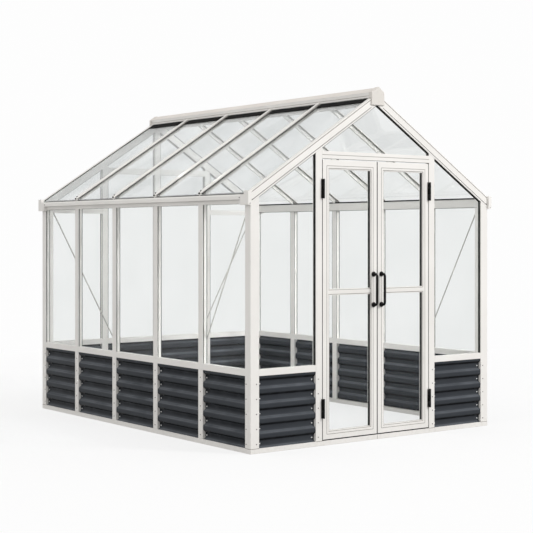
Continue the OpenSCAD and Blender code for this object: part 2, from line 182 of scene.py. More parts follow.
# %% Paper
NEAR_GLOW = 0.80
SHADOW_REACH = (2.5, 7.0)
PAPER_BOUNCE = 0.34
PAPER_SEEN = 0.80
PAPER_HALF = 30
PAPER_DROP = 0.001
paper = bpy.data.materials.new("studio_paper")
paper.use_nodes = True
nt = paper.node_tree
nt.nodes.clear()
seen = seen_through_glass(nt)
matt = nt.nodes.new("ShaderNodeBsdfDiffuse")
nt.links.new(rescale(nt, seen, PAPER_BOUNCE, PAPER_SEEN), matt.inputs["Color"])
glow = nt.nodes.new("ShaderNodeEmission")
glow.inputs["Color"].default_value = WHITE
glow.inputs["Strength"].default_value = PAPER_WHITE
distance = nt.nodes.new("ShaderNodeVectorMath")
distance.operation = "LENGTH"
nt.links.new(nt.nodes.new("ShaderNodeTexCoord").outputs["Object"], distance.inputs[0])
glow_share = combine(nt, "MULTIPLY", seen, rescale(nt, distance.outputs["Value"], NEAR_GLOW, 1, *SHADOW_REACH))
surface = blend_shaders(nt, glow_share, matt.outputs[0], glow.outputs[0])
nt.links.new(surface, nt.nodes.new("ShaderNodeOutputMaterial").inputs["Surface"])

bm = bmesh.new()
bmesh.ops.create_grid(bm, x_segments=1, y_segments=1, size=PAPER_HALF)
bmesh.ops.translate(bm, verts=bm.verts, vec=(0, 0, cad_box[0].z - PAPER_DROP))
floor_mesh = bpy.data.meshes.new("floor")
bm.to_mesh(floor_mesh)
bm.free()
floor_mesh.materials.append(paper)
floor = bpy.data.objects.new("floor", floor_mesh)
scene.collection.objects.link(floor)
print("paper:", 2 * PAPER_HALF, "m square")

# %% [markdown]
# ## Lamps
# A square lamp far off at the front right is the key: it gives the soft shadow to the left, and low as it is, it
# doesn't bleach the faces that look up. A weak fill keeps the left side from going dull. A third lamp hangs inside
# the house and lightens the inner faces. More light from outside could do that too, but it would bleach the frame.


# %% Lamps
def soft_lamp(name, place, aim, size, watts):
    """A square studio lamp that looks at a point."""
    lamp = bpy.data.lights.new(name, "AREA")
    lamp.size = size
    lamp.energy = watts
    holder = bpy.data.objects.new(name, lamp)
    holder.location = place
    holder.rotation_euler = (Vector(aim) - Vector(place)).to_track_quat("-Z", "Y").to_euler()
    holder.visible_camera = False
    scene.collection.objects.link(holder)
    return holder


MIDDLE = (0, 0, 1.2)
soft_lamp("key_front_right", place=(10.8, -17.8, 12.0), aim=MIDDLE, size=2.6, watts=3050)
soft_lamp("fill_left", place=(-14.0, -4.0, 4.0), aim=MIDDLE, size=4.0, watts=310)
inside = soft_lamp("fill_inside", place=(-0.95, -0.2, 1.3), aim=(1.1, -0.5, 1.25), size=1.4, watts=9)
inside.visible_glossy = inside.visible_transmission = False

# %% [markdown]
# ## Finishes
# Five finishes cover the house: cream coat, charcoal sheet, black metal, rubber and glass, with screws and sealant
# in between. Painted pictures could carry them, but patterns made of noise have no seams and stay sharp close up.
# All patterns read Object coordinates, which stay fixed to the metal in metres.


# %% Helpers for finishes
def finish(name, colour, rough, metallic=0.0):
    """A new Principled material with its nodes, its shader and Object coordinates."""
    mat = bpy.data.materials.new(name)
    mat.use_nodes = True
    nt = mat.node_tree
    shader = nt.nodes["Principled BSDF"]
    shader.inputs["Base Color"].default_value = (*colour, 1)
    shader.inputs["Roughness"].default_value = rough
    shader.inputs["Metallic"].default_value = metallic
    place = nt.nodes.new("ShaderNodeTexCoord").outputs["Object"]
    return mat, nt, shader, place


def noise(nt, place, scale, detail):
    """A noise pattern with a given number of grains to the metre."""
    pattern = nt.nodes.new("ShaderNodeTexNoise")
    pattern.inputs["Scale"].default_value = scale
    pattern.inputs["Detail"].default_value = detail
    nt.links.new(place, pattern.inputs["Vector"])
    return pattern.outputs["Fac"]


def ramp(nt, value, low, high, dark, light):
    """Maps a value from low..high onto two colours."""
    bar = nt.nodes.new("ShaderNodeValToRGB")
    for stop, position, colour in zip(bar.color_ramp.elements, (low, high), (dark, light)):
        stop.position = position
        stop.color = (*colour, 1)
    nt.links.new(value, bar.inputs["Fac"])
    return bar.outputs["Color"]


def blend_colours(nt, share, first, second):
    """Mixes two colours by a share."""
    mix = nt.nodes.new("ShaderNodeMix")
    mix.data_type = "RGBA"
    nt.links.new(share, mix.inputs["Factor"])
    nt.links.new(first, mix.inputs["A"])
    nt.links.new(second, mix.inputs["B"])
    return mix.outputs["Result"]


def vary_gloss(nt, shader, value, low, high):
    """Lets a pattern drive the roughness between two values."""
    nt.links.new(rescale(nt, value, low, high), shader.inputs["Roughness"])


def skin(nt, shader, value, strength, depth):
    """Turns a pattern into a fine relief of the surface."""
    relief = nt.nodes.new("ShaderNodeBump")
    relief.inputs["Strength"].default_value = strength
    relief.inputs["Distance"].default_value = depth
    nt.links.new(value, relief.inputs["Height"])
    nt.links.new(relief.outputs["Normal"], shader.inputs["Normal"])


print("helpers for finishes are ready")

# %% [markdown]
# Splashed dust lies near the ground. Painted light and shade follow the way a face looks: on the sheets a paler
# colour on faces that look up is a painted highlight and a darker one on faces that look down is painted shade, and
# on the cream coat a darker film on faces that look up is painted shade. A brush could paint them, but height and
# the way a face looks put them in the right place on every piece at once.


# %% Helpers for dust, painted light and painted shade
def surface_normal(nt):
    """The way a face looks, in the piece's own axes."""
    return nt.nodes.new("ShaderNodeTexCoord").outputs["Normal"]


# Places painted highlight and painted shade by the way a face looks.
def facing(nt, start, full, most):
    """A value that goes from 0 to most as the upward share of the normal goes from start to full."""
    return rescale(nt, axis_of(nt, surface_normal(nt), "Z"), 0, most, start, full)


def splashes(nt, place, top, patches, most):
    """A share of splashed dust: strongest at the ground, none above top, and broken up by patches."""
    near_ground = rescale(nt, axis_of(nt, place, "Z"), 1, 0, 0, top)
    return combine(nt, "MULTIPLY", near_ground, rescale(nt, patches, 0, most))


print("helpers for dust are ready")

# %% [markdown]
# ## Cream powder coat
# Powder coat is paint baked on as dust: it has a fine orange-peel skin, a satin gloss and hardly any colour change,
# so a small noise drives its bump and roughness. On the ridge cap and, less, on its moulded end caps, a darker film
# is painted on the faces that look up: painted shade that tones down the light from above. The thin braces have a
# greyer coat.

# %% Cream powder coat
ORANGE_PEEL = 700
CREAM = (0.815, 0.795, 0.765)
CREAM_SHADED = (0.775, 0.755, 0.725)
CREAM_DUSTY = (0.66, 0.63, 0.58)
CREAM_TOP_SHADE = (0.66, 0.61, 0.565)
CREAM_TOP_SHADE_PALE = (0.76, 0.71, 0.66)
CAP_CREAM = (0.68, 0.65, 0.61)
CAP_SHADED = (0.64, 0.61, 0.57)
BRACE_GREY = (0.40, 0.39, 0.37)
BRACE_PALE = (0.50, 0.49, 0.46)
TOP_SHADE_START, TOP_SHADE_FULL = 0.15, 0.60


def cream_coat(name, dark, light, painted_top_shading):
    """The cream finish between two tones, with a darker film painted on the faces that look up as painted shade."""
    mat, nt, shader, place = finish(name, light, rough=0.42)
    coat = ramp(nt, noise(nt, place, scale=2.5, detail=4), 0.35, 0.65, dark, light)
    specks = ramp(nt, noise(nt, place, scale=60, detail=5), 0.45, 0.75, CREAM, CREAM_DUSTY)
    patches = noise(nt, place, scale=14, detail=4)
    coat = blend_colours(nt, splashes(nt, place, top=0.16, patches=patches, most=0.7), coat, specks)
    if painted_top_shading:
        # Painted shade: a darker film on the faces that look up tones down the light from above.
        top_shade_paint = ramp(nt, noise(nt, place, scale=3, detail=3), 0.3, 0.7, CREAM_TOP_SHADE, CREAM_TOP_SHADE_PALE)
        coat = blend_colours(nt, facing(nt, TOP_SHADE_START, TOP_SHADE_FULL, painted_top_shading), coat, top_shade_paint)
    nt.links.new(coat, shader.inputs["Base Color"])
    vary_gloss(nt, shader, noise(nt, place, scale=9, detail=3), 0.36, 0.52)
    skin(nt, shader, noise(nt, place, scale=ORANGE_PEEL, detail=1), strength=0.12, depth=0.0004)
    return mat


cream = cream_coat("cream_powder_coat", CREAM_SHADED, CREAM, painted_top_shading=0)
# The ridge cap and its end caps take painted shade on the faces that look up.
ridge_cream = cream_coat("cream_powder_coat_top_shaded", CREAM_SHADED, CREAM, painted_top_shading=0.9)
cap_cream = cream_coat("cream_moulded_cap", CAP_SHADED, CAP_CREAM, painted_top_shading=0.6)
brace_coat, nt, shader, place = finish("grey_brace_coat", BRACE_GREY, rough=0.45)
streaks = ramp(nt, noise(nt, place, scale=9, detail=3), 0.3, 0.7, BRACE_GREY, BRACE_PALE)
nt.links.new(streaks, shader.inputs["Base Color"])
print("finishes:", cream.name, ridge_cream.name, cap_cream.name, brace_coat.name)

# %% [markdown]
# ## Charcoal sheet
# The sheets of the dwarf wall are coated steel. A paler colour on the upper sides of their ribs is a painted
# highlight, and a dark colour on the undersides is painted shade. Painted stripes could show that, but the way the
# surface faces puts both in the right place on every sheet: the coat turns paler where the normal points up and
# darker where it points down. On the outer side of the long walls painted shade also darkens the valleys, so a wave
# with the pitch of the ribs adds it, and the long walls have their own copy of the finish with a paler painted
# highlight and a darker painted shade.

# %% Painted shade in the valleys
RIB_PITCH = 0.103
LOWEST_VALLEY = 0.0645
SHADE_LIFT = 0.015
WAVE_START, WAVE_FULL = -0.1, 0.9
FACES_OUT = 0.3


def outer_side(nt, place):
    """A value of 1 where a sheet of a long wall faces away from the house and 0 where it faces in."""
    apart = nt.nodes.new("ShaderNodeVectorMath")
    apart.operation = "MULTIPLY"
    nt.links.new(place, apart.inputs[0])
    nt.links.new(surface_normal(nt), apart.inputs[1])
    return rescale(nt, axis_of(nt, apart.outputs["Vector"], "X"), 0, 1, 0, FACES_OUT)


# Shapes the painted shade in the valleys.
def near_valleys(nt, place, most):
    """A value that rises to most just over the middle of each valley between the ribs."""
    value = axis_of(nt, place, "Z")
    for operation, number in (("SUBTRACT", LOWEST_VALLEY + SHADE_LIFT),
                              ("MULTIPLY", 2 * math.pi / RIB_PITCH), ("COSINE", 0)):
        step = nt.nodes.new("ShaderNodeMath")
        step.operation = operation
        step.inputs[1].default_value = number
        nt.links.new(value, step.inputs[0])
        value = step.outputs[0]
    return rescale(nt, value, 0, most, WAVE_START, WAVE_FULL)


print("ribs every", RIB_PITCH * 1000, "mm")

# %% Charcoal sheet
CHARCOAL = (0.043, 0.048, 0.055)
CHARCOAL_DEEP = (0.037, 0.041, 0.048)
CHARCOAL_DUST_AND_HIGHLIGHT = (0.066, 0.073, 0.083)
CHARCOAL_HIGHLIGHT = (0.120, 0.130, 0.146)
CHARCOAL_SHADE = (0.009, 0.010, 0.012)
CHARCOAL_SIDE_HIGHLIGHT = (0.145, 0.156, 0.172)
CHARCOAL_SIDE_SHADE = (0.006, 0.008, 0.011)
SHEET_SHINE = 0.05


def coated_sheet(name, pale, shade_tone, in_valleys):
    """The charcoal finish, with a painted highlight on the upper sides of the ribs and painted shade under them and
    in the valleys.
    """
    mat, nt, shader, place = finish(name, CHARCOAL, rough=0.30)
    shader.inputs["Specular IOR Level"].default_value = SHEET_SHINE
    coat = ramp(nt, noise(nt, place, scale=3, detail=2), 0.35, 0.68, CHARCOAL_DEEP, CHARCOAL)
    dusty = ramp(nt, noise(nt, place, scale=40, detail=3), 0.3, 0.8, CHARCOAL, CHARCOAL_DUST_AND_HIGHLIGHT)
    patches = noise(nt, place, scale=12, detail=3)
    coat = blend_colours(nt, splashes(nt, place, top=0.30, patches=patches, most=0.30), coat, dusty)
    # Painted highlight: a paler colour on the faces that look up.
    painted_top_shading = ramp(nt, noise(nt, place, scale=5, detail=3), 0.30, 0.75, pale, CHARCOAL_DUST_AND_HIGHLIGHT)
    coat = blend_colours(nt, facing(nt, start=0.10, full=0.60, most=0.85), coat, painted_top_shading)
    # Painted shade: a dark colour under the ribs and, on the long walls, in the valleys.
    shade_paint = ramp(nt, noise(nt, place, scale=8, detail=3), 0.45, 1.0, shade_tone, CHARCOAL_DEEP)
    dark = facing(nt, start=-0.08, full=-0.60, most=0.95)
    if in_valleys:
        valley_shade = combine(nt, "MULTIPLY", near_valleys(nt, place, in_valleys), outer_side(nt, place))
        dark = combine(nt, "MAXIMUM", dark, valley_shade)
    nt.links.new(blend_colours(nt, dark, coat, shade_paint), shader.inputs["Base Color"])
    vary_gloss(nt, shader, noise(nt, place, scale=6, detail=2), 0.13, 0.16)
    return mat


charcoal = coated_sheet("charcoal_coated_sheet", CHARCOAL_HIGHLIGHT, CHARCOAL_SHADE, in_valleys=0)
# The long walls' copy, with a paler painted highlight, a darker painted shade and painted shade in the valleys.
side_charcoal_painted_shading = coated_sheet("charcoal_coated_sheet_sides", CHARCOAL_SIDE_HIGHLIGHT, CHARCOAL_SIDE_SHADE,
                             in_valleys=0.95)
print("finishes:", charcoal.name, side_charcoal_painted_shading.name)

# %% [markdown]
# ## Black metal, rubber, screws and sealant
# Hinges and handles are black powder coat, worn a little paler in patches. Rubber is duller and has a grey bloom.
# Both could share one black, but the gloss tells them apart. The screws in the sheets are bright zinc, those on the
# posts are dull, and the sealant is a taupe paste, whose beads also serve as painted shade in grooves and steps. A
# noise with a fitting grain mottles each.

# %% Black powder coat and rubber
BLACK_SHINE = 0.07
RUBBER_SHINE = 0.03
black, nt, shader, place = finish("black_powder_coat", (0.008, 0.008, 0.008), rough=0.42)
shader.inputs["Specular IOR Level"].default_value = BLACK_SHINE
worn = ramp(nt, noise(nt, place, scale=45, detail=5), 0.50, 0.85, (0.006, 0.006, 0.006), (0.018, 0.017, 0.017))
nt.links.new(worn, shader.inputs["Base Color"])
vary_gloss(nt, shader, noise(nt, place, scale=80, detail=3), 0.34, 0.52)
skin(nt, shader, noise(nt, place, scale=1500, detail=1), strength=0.15, depth=0.0003)

rubber, nt, shader, place = finish("black_rubber_strip", (0.014, 0.014, 0.014), rough=0.75)
shader.inputs["Specular IOR Level"].default_value = RUBBER_SHINE
bloom = ramp(nt, noise(nt, place, scale=35, detail=4), 0.40, 0.85, (0.010, 0.010, 0.010), (0.028, 0.027, 0.026))
nt.links.new(bloom, shader.inputs["Base Color"])
vary_gloss(nt, shader, noise(nt, place, scale=60, detail=3), 0.66, 0.86)
skin(nt, shader, noise(nt, place, scale=2200, detail=2), strength=0.2, depth=0.0002)
print("finishes:", black.name, rubber.name)


# %% Screws and sealant
def mottled(name, middle, rough, metallic, scale, detail, dark, light):
    """A finish whose colour drifts between two tones in small patches."""
    mat, nt, shader, place = finish(name, middle, rough, metallic)
    tone = ramp(nt, noise(nt, place, scale, detail), 0.3, 0.8, dark, light)
    nt.links.new(tone, shader.inputs["Base Color"])
    return mat


zinc = mottled("zinc_plated_screw", (0.84, 0.84, 0.83), rough=0.35, metallic=0.25, scale=300, detail=3,
               dark=(0.76, 0.76, 0.75), light=(0.88, 0.88, 0.87))
steel = mottled("dull_steel_screw", (0.22, 0.21, 0.20), rough=0.50, metallic=0.3, scale=300, detail=3,
                dark=(0.17, 0.16, 0.15), light=(0.28, 0.27, 0.26))
# Its beads also serve as painted shade in grooves and steps.
sealant_and_groove_shade = mottled("taupe_sealant", (0.16, 0.14, 0.12), rough=0.6, metallic=0.0, scale=90, detail=4,
                  dark=(0.13, 0.115, 0.10), light=(0.20, 0.175, 0.15))
print("finishes:", zinc.name, steel.name, sealant_and_groove_shade.name)

# %% [markdown]
# ## Glass
# Float glass is clear with a faint cool tint that shows where two panes lie behind each other. A physical glass
# shader would block the lamps and leave the inside gloomy, so shadow rays pass straight through a transparent
# shader instead, and everything else sees smooth glass. The roof's panes let less of the lamps' light through than
# those of the walls, and the left slope has a darker tint than the right one.

# %% Glass
WALL_LETS_THROUGH = (0.90, 0.91, 0.91)
ROOF_LETS_THROUGH = (0.45, 0.46, 0.46)


def clear_glass(name, ior, dark, light, light_through):
    """Glass whose tint drifts slowly between two colours and that lets a share of the lamps' light through."""
    mat, nt, shader, place = finish(name, light, rough=0.0)
    shader.inputs["Transmission Weight"].default_value = 1.0
    shader.inputs["IOR"].default_value = ior
    tint = ramp(nt, noise(nt, place, scale=1.7, detail=3), 0.36, 0.64, dark, light)
    nt.links.new(tint, shader.inputs["Base Color"])
    let_light_pass = nt.nodes.new("ShaderNodeBsdfTransparent")
    let_light_pass.inputs["Color"].default_value = (*light_through, 1)
    in_shadow_ray = nt.nodes.new("ShaderNodeLightPath").outputs["Is Shadow Ray"]
    pane = blend_shaders(nt, in_shadow_ray, shader.outputs[0], let_light_pass.outputs[0])
    nt.links.new(pane, nt.nodes["Material Output"].inputs["Surface"])
    return mat


wall_glass = clear_glass("clear_float_glass", ior=1.15, dark=(0.910, 0.920, 0.916), light=(0.930, 0.938, 0.935),
                         light_through=WALL_LETS_THROUGH)
left_roof_glass = clear_glass("roof_glass_filmed", ior=1.22, dark=(0.700, 0.720, 0.722),
                              light=(0.805, 0.823, 0.825), light_through=ROOF_LETS_THROUGH)
right_roof_glass = clear_glass("roof_glass", ior=1.22, dark=(0.885, 0.897, 0.895), light=(0.950, 0.958, 0.956),
                               light_through=ROOF_LETS_THROUGH)
ROOF_PANES = {"left_roof_glass": left_roof_glass, "right_roof_glass": right_roof_glass}
panes = [node for node in nodes if "glass" in node]
for node in panes:
    nodes[node].data.materials.clear()
    nodes[node].data.materials.append(ROOF_PANES.get(node, wall_glass))
print("glazed nodes:", sorted(panes))

# %% [markdown]
# ## Softened metal
# Extruded aluminium and folded sheet never have razor edges: each arris is rounded by a millimetre or so, and
# that thin round catches the light. A bevel modifier would do it too, but the solids arrive as loose triangles,
# so a copy is merged, its flat triangles are joined back into faces, and only the outer arrises are bevelled.
# The rounds are shaded smoothly and the large faces stay flat, or they would look like cushions.

# %% Helpers for pieces
SHARP = math.radians(28)
FLAT = math.radians(0.5)
MERGE = 1e-5
bodies = frame["record"]["behaviour"]["bodies"]
body_of_node = {n: body for body, members in bodies.items() for n in members}


def piece(name, bm, mat, body):
    """Makes an object of a bmesh, gives it a finish and lets it ride on a body."""
    mesh = bpy.data.meshes.new(name)
    bm.to_mesh(mesh)
    bm.free()
    mesh.materials.append(mat)
    made = bpy.data.objects.new(name, mesh)
    scene.collection.objects.link(made)
    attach(made, body)
    return made


def merged_copy(node):
    """A bmesh of a solid with its loose triangles joined back into whole faces."""
    bm = bmesh.new()
    bm.from_mesh(nodes[node].data)
    bmesh.ops.remove_doubles(bm, verts=bm.verts, dist=MERGE)
    bmesh.ops.dissolve_limit(bm, angle_limit=FLAT, verts=bm.verts, edges=bm.edges)
    return bm


def round_arrises(bm, width, segments=1):
    """Rounds the outer sharp edges and shades only the rounds smoothly."""
    arrises = [e for e in bm.edges if len(e.link_faces) == 2 and e.is_convex
               and e.calc_face_angle(0) > SHARP]
    made = bmesh.ops.bevel(bm, geom=arrises, offset=width, offset_type="OFFSET", segments=segments, profile=0.5,
                           affect="EDGES", clamp_overlap=True, material=-1)
    rounds = set(made["faces"])
    for f in bm.faces:
        f.smooth = f in rounds


def shade_round(bm):
    """Shades a round form smoothly and keeps its sharp edges."""
    for f in bm.faces:
        f.smooth = True
    for e in bm.edges:
        e.smooth = e.calc_face_angle(0) < SHARP


print("bodies:", {body: len(members) for body, members in bodies.items()})

# %% [markdown]
# The frame is a kit of box sections: posts, sills, beams, rafters and bars, and the two leaves. Each could be drawn
# again as a profile, but the solids already have the right shape, so every node is softened and takes its coat.

# %% Cream frame
ARRIS = 0.0012
COATS = {"ridge_cap": ridge_cream, "ridge_end_caps": cap_cream, "wall_braces": brace_coat}
FRAME_NODES = ["base_rails", "front_corner_posts", "back_corner_posts", "door_posts", "door_head", "left_posts",
               "right_posts", "back_posts", "front_sills", "left_sill", "right_sill", "back_sills",
               "left_eave_beam", "right_eave_beam", "left_gutter", "right_gutter", "gutter_end_caps",
               "front_rafters", "back_rafters", "left_roof_bars", "right_roof_bars", "ridge_beam", "ridge_cap",
               "ridge_end_caps", "back_rails", "wall_braces", "left_door", "right_door"]
for node in FRAME_NODES:
    bm = merged_copy(node)
    round_arrises(bm, ARRIS, 2)
    coat = COATS.get(node, cream)
    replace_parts(piece(node + "_soft", bm, coat, body_of_node[node]), node)
print("softened frame pieces:", len(FRAME_NODES))

# %% [markdown]
# ## Dwarf wall, hinges and handles
# The corrugated sheets are rolled, so their flanks must shade smoothly from rib to valley. More facets could do
# that, but smooth shading needs no extra faces. Hinges and handles are black cast pieces with slightly rounder
# arrises than the frame. The dark seal under the ridge cap is rubber, and its black is also painted shade, standing
# in for the dark channel under the cap.

# %% Sheets and black fittings
FITTING_ARRIS = 0.0015
SEAL_ARRIS = 0.0008
SIDE_SHEETS = ["left_panels", "right_panels"]
SHEET_NODES = ["front_panels", "back_panels"] + SIDE_SHEETS
FITTING_NODES = ["frame_hinges", "left_door_hinges", "right_door_hinges", "left_door_handle", "right_door_handle"]
for node in SHEET_NODES:
    bm = merged_copy(node)
    shade_round(bm)
    coat = side_charcoal_painted_shading if node in SIDE_SHEETS else charcoal
    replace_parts(piece(node + "_rolled", bm, coat, body_of_node[node]), node)
for node in FITTING_NODES:
    bm = merged_copy(node)
    round_arrises(bm, FITTING_ARRIS, 2)
    shade_round(bm)
    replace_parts(piece(node + "_cast", bm, black, body_of_node[node]), node)
# The black seal under the ridge cap is partly painted shade for the channel under the cap.
bm = merged_copy("ridge_seals")
round_arrises(bm, SEAL_ARRIS)
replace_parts(piece("ridge_seals_soft", bm, rubber, "house"), "ridge_seals")
print("solids shown as they came:", sorted(n for n, o in nodes.items() if not o.hide_render))

# %% [markdown]
# ## Where things are
# Screws, strips and seams are placed from the solids themselves, because places typed in by hand would be wrong
# after the next change. A node such as the left wall's glass holds several panes, so a helper walks each node's
# linked vertices and gives the points of every separate solid.


# %% Separate solids of a node
def solids_of(node):
    """The vertex places of each separate solid in a node, sorted along Y, then X, then Z."""
    bm = merged_copy(node)
    left = set(bm.verts)
    groups = []
    while left:
        open_ends = [left.pop()]
        group = []
        while open_ends:
            v = open_ends.pop()
            group.append(v.co.copy())
            linked = [e.other_vert(v) for e in v.link_edges]
            open_ends += [w for w in linked if w in left]
            left.difference_update(linked)
        groups.append(group)
    bm.free()
    return sorted(groups, key=lambda g: [round(min(p[axis] for p in g), 3) for axis in (1, 0, 2)])


def corners(points):
    """Lowest and highest corner of some points."""
    return (Vector(min(p[i] for p in points) for i in range(3)),
            Vector(max(p[i] for p in points) for i in range(3)))


def boxes_of(node):
    """The box of each separate solid in a node."""
    return [corners(points) for points in solids_of(node)]


corner_low, corner_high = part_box("front_corner_posts")
HALF_W = corner_high.x
Y_FRONT = corner_low.y
Y_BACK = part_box("back_corner_posts")[1].y
BASE_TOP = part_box("base_rails")[1].z
SILL_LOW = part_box("left_sill")[0].z
GABLES = ((Y_FRONT, -1), (Y_BACK, 1))
CORNER_POSTS = {-1: "front_corner_posts", 1: "back_corner_posts"}
TO_FRONT = (0, -1, 0)
print("half width", round(HALF_W, 4), "front", round(Y_FRONT, 4), "back", round(Y_BACK, 4))

# %% [markdown]
# Bolts, strips and lines on the roof follow its slope. The pitch could be repeated here as a number, but a front
# rafter already has it: its outer top edge runs from the eave to the crown.

# %% Roof line
ON_FACE = 0.001
rafter = solids_of("front_rafters")[0]
eave_points = [p for p in rafter if abs(p.x) > HALF_W - ON_FACE]
eave_top = max(eave_points, key=lambda p: p.z)
crown = max(rafter, key=lambda p: p.z)
SLOPE = Vector((abs(eave_top.x) - abs(crown.x), 0, crown.z - eave_top.z)).normalized()
RAFTER_W = (eave_top.z - min(p.z for p in eave_points)) * SLOPE.x


def under_roof(x, y, depth):
    """A place under the roof line at x and y, its depth measured square to the slope."""
    return Vector((x, y, eave_top.z + ((HALF_W - abs(x)) * SLOPE.z - depth) / SLOPE.x))


print("pitch", round(math.degrees(math.atan2(SLOPE.z, SLOPE.x)), 2), "rafter", round(RAFTER_W, 4))

# %% [markdown]
# ## Rubber strips round the panes
# Each pane is bedded between an outer and an inner rubber strip, which line the reveals of its posts and show
# as dark lines on the far side of every pane. The inner strips are bold in the front gable and thin elsewhere.
# A strip could follow the whole outline as one swept profile, but a block for every edge is simpler to place.

# %% Helpers for strips
STRIP_T = 0.0028
SHORTEST_STRIP = 4 * STRIP_T
ABOVE_FOOT = 0.01
SLOPING = 0.02


def add_strip(bm, start, end, outward, wide, deep):
    """Adds a bar from start to end: deep along outward, wide across it."""
    start, end = Vector(start), Vector(end)
    run = (end - start).normalized()
    across = Vector(outward).cross(run).normalized()
    turn = Matrix((run, across, run.cross(across))).transposed().to_4x4()
    size = Matrix.Diagonal(((end - start).length, wide, deep, 1))
    bmesh.ops.create_cube(bm, size=1, matrix=Matrix.Translation((start + end) / 2) @ turn @ size)


def line_pane(bm, points, wall_face, outward, layers):
    """Lines the upright edges of a pane, and its sloping top edges, in layers given as depths behind the wall."""
    low, high = corners(points)
    across = 0 if outward[1] else 1
    through = 1 - across
    for near, far in layers:
        middle = wall_face - outward[through] * (near + far) / 2
        for side, inward in ((low[across], 1), (high[across], -1)):
            heights = [p.z for p in points if abs(p[across] - side) < ON_FACE]
            if max(heights) - min(heights) < SHORTEST_STRIP:
                continue
            ends = [[0, 0, min(heights)], [0, 0, max(heights)]]
            for place in ends:
                place[across] = side + inward * STRIP_T / 2
                place[through] = middle
            add_strip(bm, *ends, outward, STRIP_T, far - near)
        if across == 0:
            peaks = sorted({(round(p.x, 4), round(p.z, 4)) for p in points if p.z > low.z + ABOVE_FOOT})
            for (x0, z0), (x1, z1) in zip(peaks, peaks[1:]):
                if abs(x1 - x0) > SLOPING and abs(z1 - z0) > SLOPING:
                    add_strip(bm, (x0, middle, z0 - STRIP_T), (x1, middle, z1 - STRIP_T), outward, STRIP_T,
                              far - near)


print("strips:", STRIP_T * 1000, "mm thick")

# %% Strips round the wall panes
STRIP_ARRIS = 0.0005
OUTER_LAYER = (0.0045, 0.0088)
SIDE_LAYERS = (OUTER_LAYER, (0.0350, 0.0380))
GABLE_LAYERS = (OUTER_LAYER, (0.0132, 0.0270))
for name, wall_face, outward, layers in (("front", Y_FRONT, TO_FRONT, GABLE_LAYERS),
                                         ("back", Y_BACK, (0, 1, 0), SIDE_LAYERS),
                                         ("left", -HALF_W, (-1, 0, 0), SIDE_LAYERS),
                                         ("right", HALF_W, (1, 0, 0), SIDE_LAYERS)):
    bm = bmesh.new()
    for pane in solids_of(name + "_glass"):
        line_pane(bm, pane, wall_face, outward, layers)
    round_arrises(bm, STRIP_ARRIS)
    piece(name + "_pane_strips", bm, rubber, "house")
print("pane strips on four walls")

# %% [markdown]
# The panes of the doors sit deeper, and their strips swing with them. One piece for both leaves would be left
# behind when a door opens, so each leaf gets its own.

# %% Strips round the door panes
DOOR_LAYERS = ((0.0070, 0.0153), (0.0197, 0.0275))
for side in ("left", "right"):
    bm = bmesh.new()
    for pane in solids_of(side + "_door_glass"):
        line_pane(bm, pane, Y_FRONT, TO_FRONT, DOOR_LAYERS)
    round_arrises(bm, STRIP_ARRIS)
    piece(side + "_door_pane_strips", bm, rubber, side + "_leaf")
print("pane strips on both leaves")

# %% [markdown]
# ## Screws
# The posts carry a row of screws, one beside each valley of the sheets. A screw could be a plain cylinder, but a
# pan head is domed and has a driver recess, so a short cone is inset and pressed in. All heads of one finish are
# gathered in one piece, because each is only a few dozen faces.

# %% Helper for screws
HEAD_SIDES = 12
HEAD_HEIGHT = 0.34
HEAD_TOP = 0.34
RECESS_RIM = 0.13
RECESS_WALL = 0.02
RECESS_DEPTH = 0.22
LOOKS_OUT = 0.9


def add_screw(bm, place, outward, head):
    """Adds a pan head of a given diameter that stands on a surface."""
    out = Vector(outward).normalized()
    height = HEAD_HEIGHT * head
    upright = out.to_track_quat("Z", "Y").to_matrix().to_4x4()
    stand = Matrix.Translation(Vector(place) + out * height / 2) @ upright
    made = bmesh.ops.create_cone(bm, cap_ends=True, cap_tris=False, segments=HEAD_SIDES, radius1=head / 2,
                                 radius2=HEAD_TOP * head, depth=height, matrix=stand)
    top = [f for f in {f for v in made["verts"] for f in v.link_faces} if len(f.verts) > 4
           and f.normal.dot(out) > LOOKS_OUT]
    bmesh.ops.inset_individual(bm, faces=top, thickness=RECESS_RIM * head, depth=0)
    bmesh.ops.inset_individual(bm, faces=top, thickness=RECESS_WALL * head, depth=-RECESS_DEPTH * head)


print("screw heads have", HEAD_SIDES, "sides")

# %% [markdown]
# The long walls and the back wall have their screws in the middle of each post. The corner posts have them on both
# faces, near the sheets, and the door posts on the front only. Each row is placed by the boxes of the posts.

# %% Screws on the posts
VALLEY_ROWS = 5
VALLEYS = [LOWEST_VALLEY + RIB_PITCH * k for k in range(VALLEY_ROWS)]
POST_SCREW = 0.009
CORNER_INSET_FRONT = 0.022
CORNER_INSET_SIDE = 0.013
BESIDE_SHEETS = SILL_LOW + 0.01


def lower_posts(node):
    """Boxes of the posts of a wall that stand beside the sheets."""
    return [box for box in boxes_of(node) if box[1].z < BESIDE_SHEETS]


